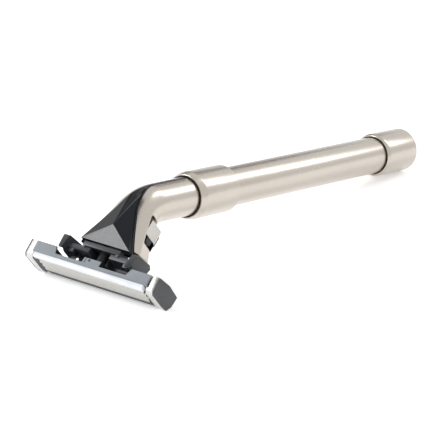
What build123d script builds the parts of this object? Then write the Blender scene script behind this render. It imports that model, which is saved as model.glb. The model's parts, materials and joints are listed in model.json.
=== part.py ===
from build123d import *
from math import asin, atan2, cos, degrees, hypot, radians, sin, tan
import os

# Three-blade cartridge razor with a bent, flared neck and a turned steel handle. Millimetres.
#
# Two working frames are used while the pieces are made:
#   handle frame: X across the razor, Y along the handle towards its end, Z to the back of the neck;
#                 Y = 0 is the collar's mouth.
#   head frame:   x across, y towards the back (away from the button side), z outward to the blades.
#                 Its origin lies on the back of the neck, at the bend.
# At the end everything is laid down as it rests on a table: on the guard edge and on the end cap.

# ---- handle ----
TUBE_R = 5.3
TUBE_BORE_R = 4.5
TUBE_START, TUBE_END = 9.0, 97.0
COLLAR_R = 6.39
COLLAR_LENGTH = 17.1
COLLAR_LIP = 2.1
CAP_R = 6.22
CAP_START, CAP_END = 91.1, 106.6
CAP_ROUND = 0.7
THREAD_R = 2.5
RING_DEPTH = 0.35

# ---- neck ----
NECK_R = 5.17
WALL = 0.8
BEND = 48.16
BEND_AXIS_R = 8.5
BEND_VERTEX = -17.5
SPIGOT_END = 8.0
STRIP_HALF = 0.5
GAP = 0.05

# ---- head, in the head frame ----
HEAD_CENTRE_Y = -5.2
BEND_VERTEX_Z = 2.06
FLARE_SECTIONS = [(11.0, 7.5, 3.9), (18.5, 9.4, 3.4)]
SHELL_END_BACK, SHELL_END_FRONT = 16.9, 15.0
COVER_LENGTH = 18.0
COVER_HALF_TOP, COVER_HALF_END = 0.7, 8.5
COVER_APEX_Z, COVER_APEX_Y = 12.2, 1.35
WINDOW_BACK_Y = -3.6
WINDOW_TOP, WINDOW_END = 4.4, 12.6
BUTTON_FRONT_Y = -12.1
BUTTON_CORNER = 3.2
BUTTON_HALF = 6.0
BUTTON_TOP, BUTTON_END = 5.6, 9.5
SLIDER_TRAVEL = 2.5
PLUNGER_Y = -2.4
PLUNGER_HEAD_R = 1.35
PLUNGER_SHAFT_R = 1.0
PLUNGER_TIP = 22.5
NOSE_HALF = 4.8
NOSE_FRONT, NOSE_BACK = -4.9, -0.5
NOSE_END = 19.3

# ---- cartridge, in the head frame ----
CARTRIDGE_HALF = 20.75
PIVOT_Y, PIVOT_Z = -7.0, 23.5
PIVOT_PIN_R = 0.65
PIVOT_HOLE_R = 0.7
PIVOT_SWING = 20.0
YOKE_HALF = 12.0
END_OUTLINE = [(0.44, 22.1), (0.13, 25.9), (-0.7, 26.6), (-6.3, 26.6),
               (-8.4, 26.3), (-9.5, 24.6), (-9.64, 21.6), (-4.5, 21.3)]
CLIP_INNER_X, CLIP_OUTER_X = 18.25, 20.35
CLIP_PROUD = 0.05
BED_TOP, BED_UNDER = 25.3, 24.9
BLADE_HALF = 16.9
BLADE_EDGES = [-6.0, -4.3, -2.6]
BLADE_TOP = 26.45
BLADE_WIDTH, BLADE_DROP, BLADE_THICK = 1.75, 0.55, 0.12

BEND_TANGENT = BEND_AXIS_R * tan(radians(BEND / 2))
HEAD_DIR = Vector(0, -cos(radians(BEND)), -sin(radians(BEND)))
BACK_DIR = Vector(0, -sin(radians(BEND)), cos(radians(BEND)))
HEAD_ORIGIN = Vector(0, BEND_VERTEX, 0) - HEAD_DIR * BEND_VERTEX_Z - BACK_DIR * HEAD_CENTRE_Y
HEAD = Plane(origin=HEAD_ORIGIN, x_dir=(1, 0, 0), z_dir=HEAD_DIR)


# ---------------------------------------------------------------- helpers
def turned(outline):
    """A solid of revolution about the handle's axis from (y, radius) points."""
    face = make_face(Polyline(*[(r, y) for y, r in outline], close=True))
    return revolve(face, Axis.Y, 360)


def rod(y0, y1, radius):
    """A plain round bar along the handle's axis."""
    return turned([(y0, 0), (y0, radius), (y1, radius), (y1, 0)])


def block(x0, x1, y0, y1, z0, z1):
    """A box between two corners."""
    centre = Pos((x0 + x1) / 2, (y0 + y1) / 2, (z0 + z1) / 2)
    return centre * Box(x1 - x0, y1 - y0, z1 - z0)


def pair(x0, x1, y0, y1, z0, z1):
    """The same box on both sides of the middle plane."""
    return block(x0, x1, y0, y1, z0, z1) + block(-x1, -x0, y0, y1, z0, z1)


def prism(outline, x0, x1):
    """A (y, z) outline pushed along X."""
    face = Plane.YZ * make_face(Polyline(*outline, close=True))
    return Pos(x0, 0, 0) * extrude(face, amount=x1 - x0)


def prism_pair(outline, x0, x1):
    """The same prism on both sides of the middle plane."""
    return prism(outline, x0, x1) + prism(outline, -x1, -x0)


def grown(outline, amount, x0, x1):
    """A (y, z) outline moved outward (or inward) and pushed along X."""
    face = offset(make_face(Polyline(*outline, close=True)), amount)
    return Pos(x0, 0, 0) * extrude(Plane.YZ * face, amount=x1 - x0)


def peg(y, z0, z1, radius, x=0):
    """A round bar along the head frame's z."""
    return Pos(x, y, (z0 + z1) / 2) * Cylinder(radius, z1 - z0)


def coil(y, z0, z1, radius, wire, turns):
    """A compression spring along the head frame's z."""
    height = z1 - z0 - 2 * wire
    path = Helix(pitch=height / turns, height=height, radius=radius - wire)
    start = Plane(origin=path @ 0, z_dir=path % 0)
    spring = sweep(start * Circle(wire), path=path)
    return Pos(0, y, z0 + wire) * spring


# ---------------------------------------------------------------- neck skin
def neck_skin(growth, tail=SPIGOT_END):
    """The neck's outer form, grown by an amount: round tail, elbow and flared head, in the handle frame."""
    radius = NECK_R + growth
    arc_start = BEND_VERTEX + BEND_TANGENT
    straight = rod(arc_start, tail, radius)
    ring = Pos(0, arc_start, 0) * Rot(90, 0, 0) * Circle(radius)
    hinge = Axis((0, arc_start, -BEND_AXIS_R), (1, 0, 0))
    elbow = revolve(ring, hinge, BEND)
    flare = [Pos(0, HEAD_CENTRE_Y, BEND_VERTEX_Z + BEND_TANGENT) * Circle(radius)]
    for z, half_width, round_off in FLARE_SECTIONS:
        shape = RectangleRounded(2 * (half_width + growth), 2 * (5.27 + growth), round_off + growth)
        flare.append(Pos(0, HEAD_CENTRE_Y, z) * shape)
    return straight + elbow + in_head(loft(flare, ruled=True))


def in_head(shape):
    """Moves a shape made in the head frame into the handle frame."""
    return HEAD * shape


def end_cutter(lift):
    """Everything beyond the shell's slanted end edge, moved outward by lift, in the head frame."""
    slope = (SHELL_END_BACK - SHELL_END_FRONT) / 10.5
    back = SHELL_END_BACK + 3 * slope + lift
    front = SHELL_END_BACK - 14 * slope + lift
    return prism([(3, back), (-14, front), (-14, 40), (3, 40)], -15, 15)


def window_cutter():
    """The front window that wraps round both sides, in the head frame."""
    outline = [(WINDOW_BACK_Y, WINDOW_TOP), (WINDOW_BACK_Y, WINDOW_END), (-15, WINDOW_END), (-15, WINDOW_TOP)]
    return prism(outline, -15, 15)


def cover_wedge(clearance, y0, y1):
    """The V that the back cover fills, in the head frame."""
    top = COVER_HALF_TOP + clearance
    end = COVER_HALF_END + clearance
    beyond = end + (end - top) / COVER_LENGTH * 4
    outline = [(-top, -1.2), (top, -1.2), (beyond, COVER_LENGTH + 4), (-beyond, COVER_LENGTH + 4)]
    face = Plane.XZ.offset(-y1) * make_face(Polyline(*outline, close=True))
    return extrude(face, amount=y1 - y0)


# ---------------------------------------------------------------- handle pieces
def collar():
    mouth_bore = TUBE_R + 0.2
    outline = [(0, mouth_bore), (0, 5.85), (COLLAR_LIP, COLLAR_R), (COLLAR_LENGTH - 0.7, COLLAR_R),
               (COLLAR_LENGTH, TUBE_R + 0.3), (COLLAR_LENGTH, TUBE_R), (1.7, TUBE_R), (1.7, mouth_bore)]
    return turned(outline)


def collar_ring():
    outer = TUBE_R + 0.2
    return turned([(RING_DEPTH, NECK_R), (RING_DEPTH, outer), (1.7, outer), (1.7, NECK_R)])


def handle_tube():
    return rod(TUBE_START, TUBE_END, TUBE_R) - rod(TUBE_START, TUBE_END, TUBE_BORE_R)


def end_cap():
    body = turned([(CAP_START, TUBE_R + 0.25), (CAP_START, 5.8), (CAP_START + 0.9, CAP_R), (CAP_END, CAP_R),
                   (CAP_END, 0), (102.5, 0), (102.5, THREAD_R), (97.2, THREAD_R), (97.2, TUBE_R),
                   (92.6, TUBE_R), (92.6, TUBE_R + 0.25)])
    rim = body.edges().filter_by(GeomType.CIRCLE).sort_by(Axis.Y)[-1]
    return fillet(rim, CAP_ROUND)


def cap_ring():
    outer = TUBE_R + 0.25
    start = CAP_START + RING_DEPTH
    return turned([(start, TUBE_R), (start, outer), (92.6, outer), (92.6, TUBE_R)])


def end_plug():
    return rod(88, TUBE_END, TUBE_BORE_R) + rod(TUBE_END, 102.2, THREAD_R)


def tube_insert():
    return rod(TUBE_START + 0.2, 20, TUBE_BORE_R) - rod(TUBE_START, 21, THREAD_R)


def neck_insert():
    return rod(1, SPIGOT_END, NECK_R - WALL) + rod(SPIGOT_END, 18, THREAD_R)


# ---------------------------------------------------------------- neck pieces
def neck_shell():
    shell = neck_skin(0) - neck_skin(-WALL, SPIGOT_END + 1)
    shell -= block(-STRIP_HALF - GAP, STRIP_HALF + GAP, -21, 3, 2, 8)
    cutters = end_cutter(0) + window_cutter() + cover_wedge(GAP, -3.5, 4)
    return shell - in_head(cutters)


def slider_room():
    """The space that the slider, its plate, its prongs and its spring need, in the head frame."""
    room = block(-6.8, 6.8, -15, -5.7, 4.1, WINDOW_END + 0.2)
    room += pair(4.9, 8.5, -15, WINDOW_BACK_Y, 4.1, WINDOW_END + 0.2)
    room += block(-6.8, 6.8, -9.5, -5.7, WINDOW_END, 13.8)
    room += pair(3.4, 5.2, -7.6, -5.05, 10.6, 19)
    room += peg(-7.6, 13, 14.4, 1.25)
    return room


def neck_core():
    inner = neck_skin(-WALL - GAP, 0.8)
    core = inner & block(-12, 12, -60, 0.8, -40, 10)
    core -= in_head(cover_wedge(0.6, -1.1, 4))
    core -= in_head(end_cutter(-0.5) + slider_room() + peg(PLUNGER_Y, 4.9, 19, 1.2))
    core -= in_head(block(-NOSE_HALF, NOSE_HALF, NOSE_FRONT, NOSE_BACK, 12.5, 20))
    strip = (neck_skin(0, 2.5) - inner) & block(-STRIP_HALF, STRIP_HALF, -20.4, 0.3, 1, 8)
    return core + (strip - in_head(cover_wedge(GAP, -1.1, 4)))


def back_cover():
    """Faceted cover: a low pyramid whose base rim is flush with the shell."""
    base = cover_wedge(0, -1.1, 0.0) & block(-12, 12, -3, 3, -3, COVER_LENGTH)
    base &= HEAD.location.inverse() * neck_skin(0)
    corners = [(-COVER_HALF_TOP, 0.4), (COVER_HALF_TOP, 0.4),
               (COVER_HALF_END, COVER_LENGTH), (-COVER_HALF_END, COVER_LENGTH)]
    ring = [Vector(x, -0.35, z) for x, z in corners]
    apex = Vector(0, COVER_APEX_Y, COVER_APEX_Z)
    sides = [Face(Wire(Polyline(a, b, apex, close=True).edges())) for a, b in zip(ring, ring[1:] + ring[:1])]
    bottom = Face(Wire(Polyline(*ring, close=True).edges()))
    roof = Solid(Shell(sides + [bottom]))
    return base + roof - peg(PLUNGER_Y, 16, 20, PLUNGER_HEAD_R + 0.12)


def docking_nose():
    nose = block(-NOSE_HALF, NOSE_HALF, NOSE_FRONT, NOSE_BACK, 12.5, NOSE_END)
    nose -= block(-NOSE_HALF, NOSE_HALF, -1.15, 1, 12, COVER_LENGTH + 0.1)
    nose -= peg(PLUNGER_Y, 12, 20, PLUNGER_SHAFT_R + 0.08)
    return nose - peg(PLUNGER_Y, 16.8, 20, PLUNGER_HEAD_R + 0.07)


def plunger():
    body = peg(PLUNGER_Y, 9.5, 19.2, PLUNGER_SHAFT_R) + peg(PLUNGER_Y, 9.5, 10.3, 1.15)
    head = peg(PLUNGER_Y, 19.2, PLUNGER_TIP, PLUNGER_HEAD_R)
    rim = head.edges().filter_by(GeomType.CIRCLE).sort_by(Axis.Z)[-1]
    return body + fillet(rim, 0.6)


def plunger_spring():
    return coil(PLUNGER_Y, 5.0, 9.45, 1.1, 0.18, 5)


def slider_spring():
    return coil(-7.6, 9.75, 14.3, 1.05, 0.18, 5)


# ---------------------------------------------------------------- slider
def proud_bar(z0, z1, y_limit):
    """A bar with rounded corners that stands proud of the shell, kept to the front of y_limit."""
    depth = 12.0
    outline = RectangleRounded(2 * BUTTON_HALF, depth, BUTTON_CORNER)
    bar = Pos(0, BUTTON_FRONT_Y + depth / 2, z0) * extrude(outline, amount=z1 - z0)
    return bar & block(-15, 15, -15, y_limit, z0, z1)


def eject_button():
    body = proud_bar(BUTTON_TOP, BUTTON_END, WINDOW_BACK_Y - 0.6)
    body -= block(-5.2, 5.2, -11.5, -4, 6.6, BUTTON_END + 1) + block(-5.2, 5.2, -7.6, -4, BUTTON_TOP, 7)
    pitch = (BUTTON_END - BUTTON_TOP) / 6
    for rib in range(5):
        z = BUTTON_TOP + pitch * (rib + 0.75)
        body -= block(-15, 15, -15, BUTTON_FRONT_Y + 0.3, z, z + pitch * 0.5)
    return body


def slider_carrier():
    plate = block(-5.15, 5.15, -7.55, -6.0, BUTTON_TOP, 11.0)
    heart = block(-5.15, 5.15, -11.45, -7.0, 6.65, BUTTON_END)
    prongs = pair(3.6, 5.0, -7.4, -5.2, 10.8, 14.7)
    slant = [(-5.85, BUTTON_END), (-14, BUTTON_END), (-14, 9.6), (-12.2, 10.2), (-10.4, 11.9), (-5.85, 11.9)]
    nib = proud_bar(BUTTON_END, 11.9, -5.85) & prism(slant, -6.2, 6.2)
    shell_gap = block(-7, 7, -10.75, -8.4, BUTTON_END - 0.15, 13) + block(-7, 7, -8.5, -5, 11.0, 13)
    return plate + heart + nib - shell_gap - peg(-7.6, 9.7, 12.5, 1.2) + prongs


# ---------------------------------------------------------------- yoke
def yoke():
    side = [(0.9, 18.3), (-4.85, 17.45), (-5.8, 18.1), (-5.9, 21.6), (-4.5, 22.2), (-1.2, 22.2),
            (0.9, 21.3), (1.25, 22.3), (2.0, 22.3), (1.3, 18.7)]
    body = prism_pair(side, 10.1, YOKE_HALF)
    body += block(-10.3, 10.3, -5.9, -5.05, 17.5, 20.9) + block(-8.7, 8.7, -5.9, -5.05, 17.5, 22.4)
    body += pair(NOSE_HALF + 0.15, 5.8, -5.9, 0.2, 17.9, 20.0)
    body -= block(-6, 6, -1.3, 2, 17, COVER_LENGTH + 0.25)
    body += block(-5.8, 5.8, -0.35, 0.3, COVER_LENGTH + 0.25, 19.45)
    body += pair(3.3, 10.3, -5.2, -0.1, 19.6, 20.9)
    body += pair(8.0, 9.6, -2.4, -0.4, 20.8, 21.9)
    body += prism_pair([(-5.9, 19.6), (-4.3, 19.6), (-5.85, 23.6), (-8.0, 23.0)], 7.1, 8.7)
    eye = Pos(0, PIVOT_Y, PIVOT_Z) * Rot(0, 90, 0) * Cylinder(1.2, 1.6)
    pin = Pos(0, PIVOT_Y, PIVOT_Z) * Rot(0, 90, 0) * Cylinder(PIVOT_PIN_R, 1.6)
    for sign in (-1, 1):
        body += Pos(sign * 7.9, 0, 0) * eye
        body += Pos(sign * 9.45, 0, 0) * pin
    shoulder = YOKE_HALF - 0.95
    taper = [(-YOKE_HALF, 17), (YOKE_HALF, 17), (YOKE_HALF, 18.2), (shoulder, 22.4),
             (shoulder, 25), (-shoulder, 25), (-shoulder, 22.4), (-YOKE_HALF, 18.2)]
    limits = extrude(Plane.XZ.offset(-4) * make_face(Polyline(*taper, close=True)), amount=16)
    return body & limits


# ---------------------------------------------------------------- cartridge
def housing_walls():
    """Tray with a cap-edge wall, a bed and a guard-edge wall."""
    outline = [(1.0, 22.25), (1.0, BED_TOP), (-8.95, BED_TOP), (-9.3, 25.0), (-9.6, 24.3), (-9.6, 21.8),
               (-8.95, 21.8), (-8.95, BED_UNDER), (0.45, BED_UNDER), (0.45, 22.25)]
    tray = prism(outline, -CLIP_INNER_X, CLIP_INNER_X)
    notch = [(-YOKE_HALF - 0.2, 22), (YOKE_HALF + 0.2, 22), (YOKE_HALF - 0.7, 24.3), (0.7 - YOKE_HALF, 24.3)]
    tray -= extrude(Plane.XZ.offset(-2) * make_face(Polyline(*notch, close=True)), amount=1.8)
    tray -= pair(3.4, 9.8, -5.0, -1.2, 24, 26)
    return tray + pair(YOKE_HALF + 0.4, 17.9, -9.2, 0.5, 22.5, BED_UNDER + 0.05)


def cam_block():
    outline = [(1.0, 24.5), (0.85, 22.8), (0.3, 22.6), (-4.2, 22.6), (-4.6, 23.2), (-4.6, 25.0), (1.0, 25.0)]
    cam = prism(outline, -2.7, 2.7)
    cam -= block(-2.1, -1.85, 0.65, 2, 22, 26)
    return cam - block(-1.2, -0.4, 0.5, 2, 23.0, 23.7)


def cartridge_housing():
    body = housing_walls() + cam_block()
    lug = [(-8.4, 25.0), (-8.4, 22.9), (-7.7, 22.2), (-6.3, 22.2), (-5.6, 22.9), (-5.6, 25.0)]
    body += prism_pair(lug, 8.95, 10.5)
    for sign in (-1, 1):
        body -= Pos(sign * 9.7, PIVOT_Y, PIVOT_Z) * Rot(0, 90, 0) * Cylinder(PIVOT_HOLE_R, 3)
    for x0, x1, amount in ((17.7, CLIP_OUTER_X, -0.2), (CLIP_OUTER_X, CARTRIDGE_HALF, 0)):
        body += grown(END_OUTLINE, amount, x0, x1) + grown(END_OUTLINE, amount, -x1, -x0)
    body -= pair(17.5, CLIP_INNER_X, -12, 3, BED_TOP, 28)
    return body


def clip(sign):
    x0, x1 = sorted((sign * CLIP_INNER_X, sign * (CLIP_OUTER_X - 0.02)))
    band = grown(END_OUTLINE, CLIP_PROUD, x0, x1) - grown(END_OUTLINE, -0.2, x0, x1)
    band -= prism([(-8.5, 20), (-0.8, 20), (-0.8, 22.9), (-8.5, 22.9)], x0, x1)
    return band - block(min(x0, x1) - 1, max(x0, x1) + 1, -9.2, -0.2, 20, 22.3)


def lubricating_strip():
    profile = Polyline((0.3, 26.62), (-0.8, 26.5), (-0.8, BED_TOP), (0.95, BED_TOP), (0.95, 25.9))
    crown = ThreePointArc((0.95, 25.9), (0.78, 26.42), (0.3, 26.62))
    face = Plane.YZ * make_face(profile + crown)
    return Pos(-17.6, 0, 0) * extrude(face, amount=35.2)


def blade(edge):
    """A flat, slanted blade whose cutting edge faces the guard."""
    low = BLADE_TOP - BLADE_DROP
    outline = [(edge, BLADE_TOP), (edge + BLADE_WIDTH, low), (edge + BLADE_WIDTH, low - BLADE_THICK),
               (edge + 0.35, BLADE_TOP - 0.11 - BLADE_THICK)]
    return prism(outline, -BLADE_HALF, BLADE_HALF)


def blade_support(edge):
    """A bent steel strip under a blade: a slanted top and a leg that stands on the bed."""
    slope = BLADE_DROP / BLADE_WIDTH
    top0 = BLADE_TOP - 0.55 * slope - BLADE_THICK
    top1 = BLADE_TOP - 1.6 * slope - BLADE_THICK
    outline = [(edge + 0.55, top0), (edge + 1.6, top1), (edge + 1.6, BED_TOP), (edge + 1.35, BED_TOP),
               (edge + 1.35, top1 - 0.2), (edge + 0.55, top0 - 0.25)]
    return prism(outline, -BLADE_HALF + 0.2, BLADE_HALF - 0.2)


def guard_strip():
    """Rubber guard with four fins along its length."""
    outline = [(-8.9, BED_TOP)]
    for fin in range(4):
        y = -8.75 + fin * 0.55
        z = 25.85 + fin * 0.14
        outline += [(y, z - 0.15), (y + 0.2, z + 0.1), (y + 0.36, z - 0.15)]
    outline += [(-6.5, 26.2), (-6.45, BED_TOP)]
    return prism(outline, -BLADE_HALF, BLADE_HALF)


# ---------------------------------------------------------------- resting pose
def rest_tilt():
    """The angle that lays both the end cap and the guard corner on the table, in degrees."""
    corner = HEAD.from_local_coords(Vector(0, *END_OUTLINE[4]))
    cap_y, cap_z = CAP_END - CAP_ROUND, -(CAP_R - CAP_ROUND)
    run, rise = cap_y - corner.Y, cap_z - corner.Z
    return degrees(atan2(rise, run) - asin((CAP_ROUND - CLIP_PROUD) / hypot(run, rise)))


HEAD_PIECES = {
    "back_cover": back_cover, "docking_nose": docking_nose, "plunger": plunger,
    "plunger_spring": plunger_spring, "slider_spring": slider_spring, "eject_button": eject_button,
    "slider_carrier": slider_carrier, "yoke": yoke, "cartridge_housing": cartridge_housing,
    "lubricating_strip": lubricating_strip, "guard_strip": guard_strip,
}
HANDLE_PIECES = {
    "collar": collar, "collar_ring": collar_ring, "handle_tube": handle_tube, "end_cap": end_cap,
    "cap_ring": cap_ring, "end_plug": end_plug, "tube_insert": tube_insert, "neck_insert": neck_insert,
    "neck_shell": neck_shell, "neck_core": neck_core,
}


def all_pieces():
    """Every named piece, in the handle frame."""
    pieces = {name: make() for name, make in HANDLE_PIECES.items()}
    pieces.update({name: in_head(make()) for name, make in HEAD_PIECES.items()})
    for number, edge in enumerate(BLADE_EDGES, 1):
        pieces[f"blade_{number}"] = in_head(blade(edge))
        pieces[f"blade_support_{number}"] = in_head(blade_support(edge))
    pieces["right_clip"] = in_head(clip(1))
    pieces["left_clip"] = in_head(clip(-1))
    return pieces


def laid_down(pieces):
    """Tilts the razor onto the table; the origin is the bottom centre of its bounding box."""
    tilt = Rot(-rest_tilt(), 0, 0)
    box = Compound(children=[tilt * piece for piece in pieces.values()]).bounding_box()
    place = Pos(0, -(box.min.Y + box.max.Y) / 2, -box.min.Z) * tilt
    return {name: place * piece for name, piece in pieces.items()}, place


os.makedirs("parts", exist_ok=True)
PIECES, PLACE = laid_down(all_pieces())
for piece_name, piece in PIECES.items():
    export_step(piece, f"parts/{piece_name}.step")
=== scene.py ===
import json
from math import acos, asin, cos, pi, radians, sin, tan

import bmesh
import bpy
from mathutils import Matrix, Vector


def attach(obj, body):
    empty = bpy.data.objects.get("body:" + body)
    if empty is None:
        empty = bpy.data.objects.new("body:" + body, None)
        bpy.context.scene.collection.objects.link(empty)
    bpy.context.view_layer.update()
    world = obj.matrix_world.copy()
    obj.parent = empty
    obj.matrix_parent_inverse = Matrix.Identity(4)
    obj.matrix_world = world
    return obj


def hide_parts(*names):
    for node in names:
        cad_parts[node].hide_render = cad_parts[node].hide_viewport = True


# Satin steel cartridge razor lying on a pale floor, on its guard edge and its end cap.
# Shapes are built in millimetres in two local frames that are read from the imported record:
#   handle frame: x across, y along the handle towards the end cap, z to the back of the neck
#   head frame:   x across, y towards the back, z outward to the blades

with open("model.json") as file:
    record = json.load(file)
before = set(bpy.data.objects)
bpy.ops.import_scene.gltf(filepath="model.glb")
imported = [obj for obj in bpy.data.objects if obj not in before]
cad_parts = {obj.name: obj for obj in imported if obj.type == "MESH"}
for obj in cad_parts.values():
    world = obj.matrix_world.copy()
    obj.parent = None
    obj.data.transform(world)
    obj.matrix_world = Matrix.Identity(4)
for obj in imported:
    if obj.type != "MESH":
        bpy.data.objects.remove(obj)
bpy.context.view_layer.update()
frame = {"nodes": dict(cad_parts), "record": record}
RECORD = frame["record"]
MM = 0.001

# ---- sizes of the handle, in mm, from the collar's mouth ----
HANDLE_LENGTH = 106.6
TUBE_R, COLLAR_R, CAP_R, NECK_R = 5.3, 6.39, 6.22, 5.17
COLLAR_LENGTH = 17.1
CAP_START = 91.1
BEND, BEND_AXIS_R, BEND_VERTEX = 48.16, 8.5, -17.5
BEND_VERTEX_Z, HEAD_CENTRE_Y = 2.06, -5.2
PIVOT_Y, PIVOT_Z = -7.0, 23.5


# ---------------------------------------------------------------- local frames
def local_frame(origin, y_axis, z_axis):
    """A matrix from local millimetres to the row's metres, with x across the razor."""
    columns = (Vector((1, 0, 0)), y_axis, z_axis)
    matrix = Matrix.Identity(4)
    for i, axis in enumerate(columns):
        for j in range(3):
            matrix[j][i] = axis[j] * MM
    for j in range(3):
        matrix[j][3] = origin[j]
    return matrix


def mount(name):
    return next(m for m in RECORD["mounts"] if m["name"] == name)


def joint(name):
    return next(j for j in RECORD["behaviour"]["joints"] if j["name"] == name)


ROW = Matrix.Identity(4)
ACROSS = Vector((1, 0, 0))
HANDLE_DIR = Vector(mount("cap_end")["axis"]).normalized()
HANDLE_ORIGIN = Vector(mount("cap_end")["pos_m"]) - HANDLE_DIR * HANDLE_LENGTH * MM
HANDLE = local_frame(HANDLE_ORIGIN, HANDLE_DIR, ACROSS.cross(HANDLE_DIR))
HEAD_DIR = Vector(joint("cartridge_release")["axis"]).normalized()
HEAD_BACK = HEAD_DIR.cross(ACROSS)
PIVOT = Vector(joint("cartridge_pivot")["pos_m"])
HEAD = local_frame(PIVOT - HEAD_BACK * PIVOT_Y * MM - HEAD_DIR * PIVOT_Z * MM, HEAD_BACK, HEAD_DIR)


# ---------------------------------------------------------------- mesh helpers
def make_object(name, verts, faces, matrix, body, material, replaced=(), smooth=True):
    """A mesh object from local points, on a body, standing for the CAD nodes in replaced."""
    mesh = bpy.data.meshes.new(name)
    mesh.from_pydata([matrix @ Vector(v) for v in verts], [], faces)
    mesh.validate()
    obj = bpy.data.objects.new(name, mesh)
    bpy.context.collection.objects.link(obj)
    bm = bmesh.new()
    bm.from_mesh(mesh)
    bmesh.ops.remove_doubles(bm, verts=bm.verts, dist=1e-7)
    bmesh.ops.recalc_face_normals(bm, faces=bm.faces)
    bm.to_mesh(mesh)
    bm.free()
    for p in mesh.polygons:
        p.use_smooth = smooth
    mesh.materials.append(material)
    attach(obj, body)
    if replaced:
        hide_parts(*replaced)
    return obj


def lathe(name, profile, body, material, replaced=(), steps=128, closed=True):
    """Turns a (y, radius) profile about the handle's axis."""
    verts, faces = [], []
    count = len(profile)
    for i in range(steps):
        a = 2 * pi * i / steps
        verts += [(r * cos(a), y, r * sin(a)) for y, r in profile]
    last = count if closed else count - 1
    for i in range(steps):
        j = (i + 1) % steps
        for k in range(last):
            m = (k + 1) % count
            faces.append((i * count + k, i * count + m, j * count + m, j * count + k))
    return make_object(name, verts, faces, HANDLE, body, material, replaced)


def rounded(profile, radius, segments=4):
    """Rounds each corner of a closed (y, radius) profile by a small radius."""
    out = []
    count = len(profile)
    for i, corner in enumerate(profile):
        p = Vector(corner)
        before, after = Vector(profile[i - 1]), Vector(profile[(i + 1) % count])
        a, b = before - p, after - p
        reach = min(radius, a.length * 0.45, b.length * 0.45)
        start, end = p + a.normalized() * reach, p + b.normalized() * reach
        for s in range(segments + 1):
            t = s / segments
            out.append(tuple((1 - t) ** 2 * start + 2 * t * (1 - t) * p + t ** 2 * end))
    return out


def softened(node, name, material, body, width=0.12, segments=3, angle=25):
    """A copy of a CAD node's mesh with rounded edges, standing for that node."""
    source = frame["nodes"][node]
    mesh = source.data.copy()
    obj = bpy.data.objects.new(name, mesh)
    bpy.context.collection.objects.link(obj)
    bm = bmesh.new()
    bm.from_mesh(mesh)
    bmesh.ops.remove_doubles(bm, verts=bm.verts, dist=2e-6)
    bmesh.ops.dissolve_limit(bm, angle_limit=radians(2), verts=bm.verts, edges=bm.edges)
    bm.to_mesh(mesh)
    bm.free()
    for p in mesh.polygons:
        p.use_smooth = True
    mesh.materials.clear()
    mesh.materials.append(material)
    bevel = obj.modifiers.new("edges", "BEVEL")
    bevel.width = width * MM
    bevel.segments = segments
    bevel.limit_method = "ANGLE"
    bevel.angle_limit = radians(angle)
    bevel.harden_normals = True
    bevel.use_clamp_overlap = True
    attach(obj, body)
    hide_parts(node)
    return obj


# ---------------------------------------------------------------- materials
class Nodes:
    """A small helper that builds a material's node tree."""

    def __init__(self, name, color, metallic, roughness):
        self.material = bpy.data.materials.new(name)
        self.material.use_nodes = True
        self.tree = self.material.node_tree
        self.shader = self.tree.nodes["Principled BSDF"]
        self.shader.inputs["Base Color"].default_value = (*color, 1)
        self.shader.inputs["Metallic"].default_value = metallic
        self.shader.inputs["Roughness"].default_value = roughness
        self.coord = self.add("ShaderNodeTexCoord").outputs["Object"]

    def add(self, kind, **values):
        node = self.tree.nodes.new(kind)
        for key, value in values.items():
            setattr(node, key, value)
        return node

    def link(self, a, b):
        self.tree.links.new(a, b)

    def noise(self, scale, detail=4.0, stretch=(1, 1, 1)):
        mapping = self.add("ShaderNodeMapping")
        mapping.inputs["Scale"].default_value = stretch
        self.link(self.coord, mapping.inputs["Vector"])
        noise = self.add("ShaderNodeTexNoise")
        noise.inputs["Scale"].default_value = scale
        noise.inputs["Detail"].default_value = detail
        self.link(mapping.outputs["Vector"], noise.inputs["Vector"])
        return noise.outputs["Fac"]

    def ramp(self, value, low, high, start=0.3, end=0.7):
        ramp = self.add("ShaderNodeValToRGB")
        ramp.color_ramp.elements[0].position = start
        ramp.color_ramp.elements[0].color = (*low, 1)
        ramp.color_ramp.elements[1].position = end
        ramp.color_ramp.elements[1].color = (*high, 1)
        self.link(value, ramp.inputs["Fac"])
        return ramp.outputs["Color"]

    def spread(self, value, low, high):
        node = self.add("ShaderNodeMapRange")
        node.inputs["To Min"].default_value = low
        node.inputs["To Max"].default_value = high
        self.link(value, node.inputs["Value"])
        return node.outputs["Result"]

    def bump(self, height, strength, distance):
        bump = self.add("ShaderNodeBump")
        bump.inputs["Strength"].default_value = strength
        bump.inputs["Distance"].default_value = distance
        self.link(height, bump.inputs["Height"])
        self.link(bump.outputs["Normal"], self.shader.inputs["Normal"])

    def feed(self, socket, value):
        self.link(value, self.shader.inputs[socket])


def satin_steel(name="satin_steel", tint=(0.54, 0.495, 0.44), rough=0.26):
    """Stainless steel with a fine, soft grain."""
    m = Nodes(name, tint, 1.0, rough)
    grain = m.noise(1500, 2)
    cloud = m.noise(60, 2)
    low = tuple(c * 0.97 for c in tint)
    m.feed("Base Color", m.ramp(cloud, low, tint))
    m.feed("Roughness", m.spread(grain, rough - 0.02, rough + 0.03))
    m.bump(grain, 0.04, 0.00001)
    return m.material


def moulded(name, color, rough, grain=0.12, specular=0.5):
    """Fine-grained moulded plastic."""
    m = Nodes(name, color, 0.0, rough)
    m.shader.inputs["Specular IOR Level"].default_value = specular
    texture = m.noise(2600, 3)
    cloud = m.noise(160, 3)
    m.feed("Base Color", m.ramp(cloud, tuple(c * 0.86 for c in color), color))
    m.feed("Roughness", m.spread(texture, rough - 0.05, rough + 0.08))
    m.bump(texture, grain, 0.00003)
    return m.material


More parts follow.
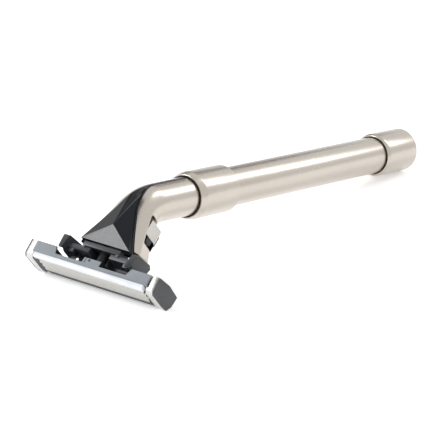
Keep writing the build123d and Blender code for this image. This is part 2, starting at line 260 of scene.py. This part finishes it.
def bright_metal(name, color, rough, along=(1, 40, 40)):
    """Clean bright metal with a drawn grain."""
    m = Nodes(name, color, 1.0, rough)
    grain = m.noise(300, 3, along)
    m.feed("Base Color", m.ramp(grain, tuple(c * 0.93 for c in color), color))
    m.feed("Roughness", m.spread(grain, rough - 0.04, rough + 0.08))
    m.bump(grain, 0.04, 0.00002)
    return m.material


STEEL = satin_steel()
BLACK = moulded("black_plastic", (0.014, 0.016, 0.019), 0.36, specular=0.3)
COVER = moulded("cover_plastic", (0.012, 0.014, 0.017), 0.3, 0.05, 0.4)
YOKE_GREY = moulded("dark_grey_plastic", (0.035, 0.04, 0.046), 0.36)
GREY = moulded("grey_plastic", (0.24, 0.26, 0.285), 0.4)
# Painted shade: the housing's end plates are the same grey plastic, painted darker where they turn from the
# light.
END_SHADE = moulded("end_plate_painted_shade", (0.035, 0.037, 0.04), 0.42)
# Painted shade: near black for the shade in the housing's hollow inside.
INSIDE_SHADE = moulded("inside_painted_shade", (0.01, 0.011, 0.012), 0.6)
RUBBER = moulded("seal_rubber", (0.015, 0.015, 0.016), 0.7)
GUARD = moulded("guard_rubber", (0.12, 0.125, 0.13), 0.6)
WHITE = moulded("white_strip", (0.74, 0.765, 0.8), 0.16, 0.02)
BLADE = bright_metal("blade_steel", (0.55, 0.54, 0.51), 0.25)
CLIP = bright_metal("clip_aluminium", (0.62, 0.61, 0.59), 0.24, (8, 8, 8))
BUTTON = bright_metal("button_metal", (0.5, 0.48, 0.45), 0.24, (6, 6, 6))
INNER = bright_metal("inner_steel", (0.55, 0.55, 0.55), 0.3)

SLOT_MATERIALS = {"satin_steel": STEEL, "inner_steel": INNER, "seal_rubber": RUBBER, "black_plastic": BLACK,
                  "dark_grey_plastic": YOKE_GREY, "grey_plastic": GREY, "button_metal": BUTTON,
                  "blade_steel": BLADE, "clip_aluminium": CLIP, "white_strip": WHITE, "guard_rubber": GUARD}


def paint_cad_nodes():
    """Gives every CAD node the material of its slot."""
    slots = {s["node"]: s["material_slot"] for s in RECORD["subparts"]}
    for node, obj in frame["nodes"].items():
        obj.data.materials.clear()
        obj.data.materials.append(SLOT_MATERIALS[slots[node]])


# ---------------------------------------------------------------- handle
def make_handle():
    tube = rounded([(9, 4.5), (9, TUBE_R), (97, TUBE_R), (97, 4.5)], 0.1)
    lathe("handle_tube_satin", tube, "handle", STEEL, ["handle_tube"])
    bore = TUBE_R + 0.2
    collar = [(0, bore), (0, 5.85), (2.1, COLLAR_R), (COLLAR_LENGTH - 0.7, COLLAR_R),
              (COLLAR_LENGTH, TUBE_R + 0.3), (COLLAR_LENGTH, TUBE_R), (1.7, TUBE_R), (1.7, bore)]
    lathe("collar_satin", rounded(collar, 0.18), "handle", STEEL, ["collar"])
    cap = [(CAP_START, TUBE_R + 0.25), (CAP_START, 5.8), (CAP_START + 0.9, CAP_R), (HANDLE_LENGTH, CAP_R),
           (HANDLE_LENGTH, 0.01), (102.5, 0.01), (102.5, 2.5), (97.2, 2.5), (97.2, TUBE_R), (92.6, TUBE_R),
           (92.6, TUBE_R + 0.25)]
    lathe("end_cap_satin", rounded(cap, 0.35), "handle", STEEL, ["end_cap"])


# ---------------------------------------------------------------- neck skin
WALL = 0.8
SHELL_END_BACK, SHELL_END_FRONT = 16.9, 15.0
WINDOW_TOP, WINDOW_END, WINDOW_BACK_Y = 4.4, 12.6, -3.6
COVER_LENGTH = 18.0
SEAM_HALF_TOP, SEAM_HALF_END = 0.62, 8.55
FLARE_RATE, FLARE_FROM, FLARE_BLEND = 0.27, 1.0, 4.4
BEND_TANGENT = BEND_AXIS_R * tan(radians(BEND / 2))
ELBOW_END = BEND_VERTEX_Z + BEND_TANGENT
ARC_START = BEND_VERTEX + BEND_TANGENT


def half_width(z):
    """The head's half width: the neck's radius, then an even flare with a soft start."""
    run = z - FLARE_FROM
    if run <= 0:
        return NECK_R
    if run < FLARE_BLEND:
        return NECK_R + FLARE_RATE * run * run / (2 * FLARE_BLEND)
    return NECK_R + FLARE_RATE * (run - FLARE_BLEND / 2)


def squareness(z):
    """2 is an ellipse; larger values fill out the corners towards the shell's end."""
    return 2 + 1.4 * max(0.0, min(1.0, (z - 1) / 15)) ** 0.9


def seam_half(z):
    """Half the width of the open V in the back, or of the slit above it."""
    return SEAM_HALF_TOP + (SEAM_HALF_END - SEAM_HALF_TOP) * max(0.0, z) / COVER_LENGTH


def seam_angle(z):
    """The ring angle at which the skin meets the V's edge."""
    return pi / 2 - (pi / 2 - acos((seam_half(z) / half_width(z)) ** (squareness(z) / 2)))


def ring_point(angle, z, growth=0.0):
    """(x, offset from the axis towards the back) of the skin at an angle; 0 is the right side."""
    power = 2 / squareness(z)
    depth = NECK_R + 0.1 * max(0.0, min(1.0, z / 10)) + growth
    c, s = cos(angle), sin(angle)
    x = (half_width(z) + growth) * abs(c) ** power * (1 if c > 0 else -1)
    return x, depth * abs(s) ** power * (1 if s > 0 else -1)


def station_point(kind, value, angle, growth=0.0):
    """A skin point in the row frame at a station: 'tail' by handle y, 'arc' by a share of the elbow
    above or below the window's top plane, 'head' by head z."""
    if kind == "tail":
        x, out = ring_point(angle, -9, growth)
        return HANDLE @ Vector((x, value, out))
    if kind == "head":
        x, out = ring_point(angle, value, growth)
        return HEAD @ Vector((x, HEAD_CENTRE_Y + out, value))
    radius = BEND_AXIS_R + (NECK_R + growth) * sin(angle)
    cut = asin(min(1.0, (ELBOW_END - WINDOW_TOP) / radius))
    full = radians(BEND)
    turn = cut * (1 - value) if value >= 0 else cut + (full - cut) * -value
    x, out = ring_point(angle, ELBOW_END - BEND_AXIS_R * turn, growth)
    arm = BEND_AXIS_R + out
    return HEAD @ Vector((x, HEAD_CENTRE_Y - BEND_AXIS_R + arm * cos(turn), ELBOW_END - arm * sin(turn)))


def path_z(kind, value):
    """Head z of a station on the axis, for the seam and the widths."""
    if kind == "tail":
        return ELBOW_END - BEND_AXIS_R * radians(BEND) + (ARC_START - value)
    if kind == "head":
        return value
    cut = (ELBOW_END - WINDOW_TOP) / BEND_AXIS_R
    full = radians(BEND)
    turn = cut * (1 - value) if value >= 0 else cut + (full - cut) * -value
    return ELBOW_END - BEND_AXIS_R * turn


def shell_end(y):
    """The shell's slanted end edge as head z, from the distance in front of the back plane."""
    return SHELL_END_BACK + (SHELL_END_BACK - SHELL_END_FRONT) * y / 10.5


def steps(start, end, count):
    return [start + (end - start) * i / count for i in range(count + 1)]


STATIONS = ([("tail", v) for v in steps(6, ARC_START, 9)[:-1]] + [("arc", v) for v in steps(-1, 0, 6)]
            + [("arc", 0.5)] + [("head", v) for v in steps(ELBOW_END, WINDOW_END, 7)]
            + [("end", v) for v in steps(0, 1, 4)[1:]])


def window_angle(z):
    """The ring angle of the window's back edges; 0 is the widest line of the side."""
    return asin(((WINDOW_BACK_Y - HEAD_CENTRE_Y) / (NECK_R + 0.05)) ** (squareness(z) / 2))


def shell_row(station, side_steps=9, front_steps=26):
    """One ring of the shell, from the right edge of the V round the front to the left edge."""
    kind, value = station
    z = path_z(kind, value) if kind != "end" else WINDOW_END + (SHELL_END_BACK - WINDOW_END) * value
    start, edge = seam_angle(z), window_angle(z)
    angles = [start + (edge - start) * i / side_steps for i in range(side_steps)]
    angles += [edge - (pi + 2 * edge) * i / front_steps for i in range(front_steps + 1)]
    angles += [-pi - edge - (start - edge) * (i + 1) / side_steps for i in range(side_steps)]
    row = []
    for angle in angles:
        if kind == "end":
            x, out = ring_point(angle, z)
            y = HEAD_CENTRE_Y + out
            row.append(HEAD @ Vector((x, y, WINDOW_END + (shell_end(y) - WINDOW_END) * value)))
        else:
            row.append(station_point(kind, value, angle))
    return row


def make_neck_shell():
    """The bent, flared steel shell as one sheet with its window, thickened inward."""
    side, front = 9, 26
    rows = [shell_row(s, side, front) for s in STATIONS]
    width = len(rows[0])
    verts = [p for row in rows for p in row]
    window_rows = range(STATIONS.index(("arc", 0.0)), sum(kind != "end" for kind, _ in STATIONS) - 1)
    faces = []
    for i in range(len(rows) - 1):
        for j in range(width - 1):
            if i in window_rows and side <= j < side + front:
                continue
            a = i * width + j
            faces.append((a, a + 1, a + width + 1, a + width))
    shell = make_object("neck_shell_satin", verts, faces, ROW, "handle", STEEL, ["neck_shell"])
    centre = HEAD @ Vector((0, HEAD_CENTRE_Y, 8))
    turn_outward(shell, centre)
    add_subdivision(shell, 2)
    add_thickness(shell, WALL)
    add_edge_bevel(shell, 0.1, 40)


def turn_outward(obj, centre):
    """Flips an open sheet whose faces look at its inside."""
    bm = bmesh.new()
    bm.from_mesh(obj.data)
    score = sum(f.normal.dot(f.calc_center_median() - centre) * f.calc_area() for f in bm.faces)
    if score < 0:
        bmesh.ops.reverse_faces(bm, faces=bm.faces)
    bm.to_mesh(obj.data)
    bm.free()
    for p in obj.data.polygons:
        p.use_smooth = True


def add_subdivision(obj, levels):
    modifier = obj.modifiers.new("smooth", "SUBSURF")
    modifier.levels = modifier.render_levels = levels
    return modifier


def add_thickness(obj, thickness):
    modifier = obj.modifiers.new("wall", "SOLIDIFY")
    modifier.thickness = thickness * MM
    modifier.offset = -1
    modifier.use_even_offset = True
    return modifier


def add_edge_bevel(obj, width, angle, segments=3):
    modifier = obj.modifiers.new("edges", "BEVEL")
    modifier.width = width * MM
    modifier.segments = segments
    modifier.limit_method = "ANGLE"
    modifier.angle_limit = radians(angle)
    modifier.harden_normals = True
    return modifier


# ---------------------------------------------------------------- back cover
COVER_APEX_Y, COVER_APEX_Z = 1.35, 12.2
COVER_GAP = 0.12


def seam_point(side, z, inset, lift):
    """A point beside the V's edge: inset towards the middle, lifted off the skin."""
    half = max(0.05, seam_half(z) - inset)
    if z < ELBOW_END:
        turn = (ELBOW_END - z) / BEND_AXIS_R
        angle = acos(min(1.0, (half / half_width(z)) ** (squareness(z) / 2)))
        x, out = ring_point(angle, z)
        arm = BEND_AXIS_R + out + lift
        y = HEAD_CENTRE_Y - BEND_AXIS_R + arm * cos(turn)
        return Vector((side * half, y, ELBOW_END - arm * sin(turn)))
    angle = acos(min(1.0, (half / half_width(z)) ** (squareness(z) / 2)))
    x, out = ring_point(angle, z)
    return Vector((side * half, HEAD_CENTRE_Y + out + lift, z))


def cover_loop(inset, lift):
    """The cover's base line: up the left seam, round the bend, down the right seam, along the end."""
    levels = steps(COVER_LENGTH - inset * 0.8, 0.2 + inset * 1.5, 14)
    left = [seam_point(-1, z, inset, lift) for z in levels]
    right = [seam_point(1, z, inset, lift) for z in reversed(levels)]
    end_z = levels[0]
    half = right[-1].x
    bottom = [Vector((half * (1 - 2 * k / 12), right[-1].y, end_z)) for k in range(1, 12)]
    return left + right + bottom


def facet_height(x, z):
    """Height above the back plane of the flat side facets: through the apex and the base corners."""
    rise = (COVER_APEX_Y + 0.1) / (COVER_APEX_Z - 0.2)
    lean = (COVER_APEX_Y + 0.1 + rise * (COVER_LENGTH - 0.5 - COVER_APEX_Z)) / (SEAM_HALF_END - 0.6)
    return COVER_APEX_Y - lean * abs(x) + rise * (z - COVER_APEX_Z)


def make_back_cover():
    """Faceted cover: a fine raised rim along the base, then three flat facets up to the apex."""
    loops = [cover_loop(COVER_GAP, -1.1), cover_loop(COVER_GAP, -0.12), cover_loop(COVER_GAP + 0.05, 0.06),
             cover_loop(0.4, 0.08), cover_loop(0.48, -0.1), cover_loop(0.6, -0.1)]
    loops.append([])
    for p in loops[-2]:
        share = max(0.0, min(1.0, (p.z + 2.5) / 4)) ** 2
        level = max(p.y, min(0.0, facet_height(p.x, p.z)))
        loops[-1].append(Vector((p.x, p.y + (level - p.y) * share, p.z)))
    count = len(loops[0])
    verts = [HEAD @ p for loop in loops for p in loop]
    faces = []
    for i in range(len(loops) - 1):
        for j in range(count):
            k = (j + 1) % count
            faces.append((i * count + j, i * count + k, (i + 1) * count + k, (i + 1) * count + j))
    faces.append(tuple(range(count)))
    apex = len(verts)
    verts.append(HEAD @ Vector((0, COVER_APEX_Y, COVER_APEX_Z)))
    last = (len(loops) - 1) * count
    faces += [(last + j, last + (j + 1) % count, apex) for j in range(count)]
    cover = make_object("back_cover_moulded", verts, faces, ROW, "handle", COVER, ["back_cover"],
                        smooth=False)


# ---------------------------------------------------------------- eject slider
BUTTON_FRONT, BUTTON_HALF, BUTTON_CORNER = -12.1, 6.0, 3.2
BUTTON_BACK = -4.2
BUTTON_CROWN, BUTTON_WALL = 0.25, 0.6
RIB_DEPTH, RIB_START, RIB_BLEND = 0.34, -9.6, 1.6
BUTTON_TOP, BUTTON_END = 5.6, 9.5


def button_outline(side=8, corner=8, front=14):
    """Outline of the slider's proud section, right side to left and open at the back, crowned in front."""
    run = BUTTON_BACK - BUTTON_FRONT - BUTTON_CORNER
    flat = BUTTON_HALF - BUTTON_CORNER
    points = [Vector((BUTTON_HALF, BUTTON_BACK - i * run / side)) for i in range(side)]
    for i in range(corner + 1):
        a = -pi / 2 * i / corner
        x = flat + BUTTON_CORNER * cos(a)
        points.append(Vector((x, BUTTON_FRONT + BUTTON_CORNER + BUTTON_CORNER * sin(a))))
    points += [Vector((flat * (1 - 2 * i / front), BUTTON_FRONT)) for i in range(1, front)]
    outline = points + [Vector((-p.x, p.y)) for p in reversed(points[:side + corner + 1])]
    return [Vector((p.x, p.y - BUTTON_CROWN * max(0, 1 - (p.x / BUTTON_HALF) ** 2))) for p in outline]


def make_eject_button():
    """Hollow ribbed button: a closed top, smooth side walls, rounded ribs across the crowned face."""
    outer = button_outline()
    ribs, per_rib = 6, 6
    count = len(outer)
    rows = []
    for i in range(ribs * per_rib + 1):
        share = i / (ribs * per_rib)
        z = BUTTON_TOP + (BUTTON_END - BUTTON_TOP) * share
        wave = 0.5 + 0.5 * cos(2 * pi * share * ribs)
        row = []
        for p in outer:
            forward = max(0.0, min(1.0, (RIB_START - p.y) / RIB_BLEND))
            row.append(Vector((p.x, p.y + RIB_DEPTH * wave * forward, z)))
        rows.append(row)
    verts = [HEAD @ p for row in rows for p in row]
    faces = [(i * count + j, i * count + j + 1, (i + 1) * count + j + 1, (i + 1) * count + j)
             for i in range(len(rows) - 1) for j in range(count - 1)]
    faces.append(tuple(range(count)))
    button = make_object("eject_button_ribbed", verts, faces, ROW, "slider", BUTTON, ["eject_button"])
    turn_outward(button, HEAD @ Vector((0, -7, 8)))
    add_thickness(button, BUTTON_WALL)
    add_edge_bevel(button, 0.12, 50)


# ---------------------------------------------------------------- scene
CAMERA_AZIMUTH, CAMERA_ELEVATION, CAMERA_ROLL = 35.62, 19.07, 2.81
CAMERA_DISTANCE, CAMERA_LENS = 617.2, 193.8
CAMERA_TARGET = (8.97, 4.68, -4.88)
FLOOR_HALF, FLOOR_GLOW, WORLD_STRENGTH = 3.0, 0.3, 0.95


def make_camera():
    """The long-lens view from the head's right front, aimed at a point beside the collar's mouth."""
    az, el = radians(CAMERA_AZIMUTH), radians(CAMERA_ELEVATION)
    forward = Vector((-sin(az) * cos(el), cos(az) * cos(el), -sin(el)))
    level = Vector((cos(az), sin(az), 0))
    upright = level.cross(forward)
    roll = radians(CAMERA_ROLL)
    right = level * cos(roll) + upright * sin(roll)
    up = right.cross(forward)
    place = HANDLE @ Vector(CAMERA_TARGET) - forward * CAMERA_DISTANCE * MM
    camera = bpy.data.objects.new("camera", bpy.data.cameras.new("camera"))
    camera.data.lens = CAMERA_LENS
    camera.data.sensor_width = 36
    camera.data.clip_start, camera.data.clip_end = 0.01, 20
    camera.matrix_world = Matrix((
        (right.x, up.x, -forward.x, place.x), (right.y, up.y, -forward.y, place.y),
        (right.z, up.z, -forward.z, place.z), (0, 0, 0, 1)))
    bpy.context.collection.objects.link(camera)
    bpy.context.scene.camera = camera


def area_light(name, place, size, power, target=(0, 0, 0)):
    data = bpy.data.lights.new(name, "AREA")
    data.shape = "RECTANGLE"
    data.size, data.size_y = size
    data.energy = power
    light = bpy.data.objects.new(name, data)
    light.location = place
    light.rotation_euler = (Vector(target) - Vector(place)).to_track_quat("-Z", "Y").to_euler()
    bpy.context.collection.objects.link(light)
    return light


def flat_sheet(name, corners, material):
    """A plain four-cornered sheet."""
    mesh = bpy.data.meshes.new(name)
    mesh.from_pydata(corners, [], [(0, 1, 2, 3)])
    mesh.materials.append(material)
    sheet = bpy.data.objects.new(name, mesh)
    bpy.context.collection.objects.link(sheet)
    return sheet


def make_card(name, centre, size, color):
    """A dark board that faces the razor from outside the picture and tones down its reflections."""
    centre = Vector(centre)
    way = (Vector((0, 0, 0.01)) - centre).normalized()
    side = way.cross(Vector((0, 0, 1)) if abs(way.z) < 0.95 else Vector((0, 1, 0))).normalized()
    top = side.cross(way)
    half_w, half_h = size[0] / 2, size[1] / 2
    signs = ((-1, -1), (1, -1), (1, 1), (-1, 1))
    corners = [centre + side * half_w * a + top * half_h * b for a, b in signs]
    card = flat_sheet(name, corners, Nodes(name + "_board", color, 0.0, 0.9).material)


def make_floor():
    """A white paper floor that glows a little, so that shadows stay faint."""
    half = FLOOR_HALF
    paper = Nodes("floor_paper", (0.98, 0.98, 0.98), 0.0, 0.9)
    paper.feed("Base Color", paper.ramp(paper.noise(30, 3), (0.97, 0.97, 0.97), (0.99, 0.99, 0.99)))
    paper.shader.inputs["Emission Color"].default_value = (1, 1, 1, 1)
    paper.shader.inputs["Emission Strength"].default_value = FLOOR_GLOW
    corners = [(-half, -half, 0), (half, -half, 0), (half, half, 0), (-half, half, 0)]
    floor = flat_sheet("floor", corners, paper.material)


def make_stage():
    """White surroundings, a light for the handle's bright band, one for the cover, two dark boards."""
    make_floor()
    world = bpy.data.worlds.new("studio")
    world.use_nodes = True
    world.node_tree.nodes["Background"].inputs["Color"].default_value = (1, 1, 1, 1)
    world.node_tree.nodes["Background"].inputs["Strength"].default_value = WORLD_STRENGTH
    bpy.context.scene.world = world
    bpy.context.scene.view_settings.view_transform = "Standard"
    area_light("band_softbox", (0.27, 0.77, 0.58), (0.2, 0.6), 1.6, (0, 0.03, 0.01))
    area_light("facet_softbox", (-0.52, -0.62, 0.56), (0.26, 0.26), 4.2, (0, -0.06, 0.01))
    make_card("top_flag", (-0.13, -0.2, 0.95), (0.7, 0.7), (0.03, 0.03, 0.035))
    make_card("back_flag", (-0.62, 0.72, 0.45), (0.7, 0.35), (0.25, 0.24, 0.23))


# ---------------------------------------------------------------- softened CAD pieces
# Bounds of the housing's end plates and of its inside, which get painted shade.
END_PLATE_X = 20.36
INSIDE_X, INSIDE_FRONT, INSIDE_BACK, INSIDE_TOP = 18.0, -9.2, 0.8, 25.05
CAM_HALF, CAM_BACK = 2.8, -0.2
END_SHADE_SLOT, INSIDE_SHADE_SLOT = 1, 2
EDGE_WIDTHS = {"left_clip": 0.05, "right_clip": 0.05, "guard_strip": 0.04,
               "lubricating_strip": 0.2, "yoke": 0.1}
SOFTENED = (("yoke", "yoke", YOKE_GREY), ("cartridge_housing", "cartridge", GREY),
            ("left_clip", "cartridge", CLIP), ("right_clip", "cartridge", CLIP),
            ("slider_carrier", "slider", BLACK), ("plunger", "plunger", BLACK),
            ("lubricating_strip", "cartridge", WHITE), ("guard_strip", "cartridge", GUARD))


def paint_housing(housing):
    """Painted shade on the grey cartridge housing: darker end plates and a near-black inside."""
    mesh = housing.data
    mesh.materials.append(END_SHADE)
    mesh.materials.append(INSIDE_SHADE)
    to_head = HEAD.inverted()
    for p in mesh.polygons:
        c = to_head @ p.center
        within = abs(c.x) < INSIDE_X and INSIDE_FRONT < c.y < INSIDE_BACK and c.z < INSIDE_TOP
        on_cam = abs(c.x) < CAM_HALF and c.y > CAM_BACK
        # Painted shade: the end plates darker, the inside near black, the cam left grey.
        if abs(c.x) > END_PLATE_X:
            p.material_index = END_SHADE_SLOT
        elif within and not on_cam:
            p.material_index = INSIDE_SHADE_SLOT


def make_softened():
    """Rounded copies of the pieces that keep their CAD shape."""
    for node, body, material in SOFTENED:
        copy = softened(node, node + "_soft", material, body, EDGE_WIDTHS.get(node, 0.12))
        if node == "cartridge_housing":
            paint_housing(copy)


def main():
    paint_cad_nodes()
    make_handle()
    make_neck_shell()
    make_back_cover()
    make_eject_button()
    make_softened()
    make_camera()
    make_stage()


main()
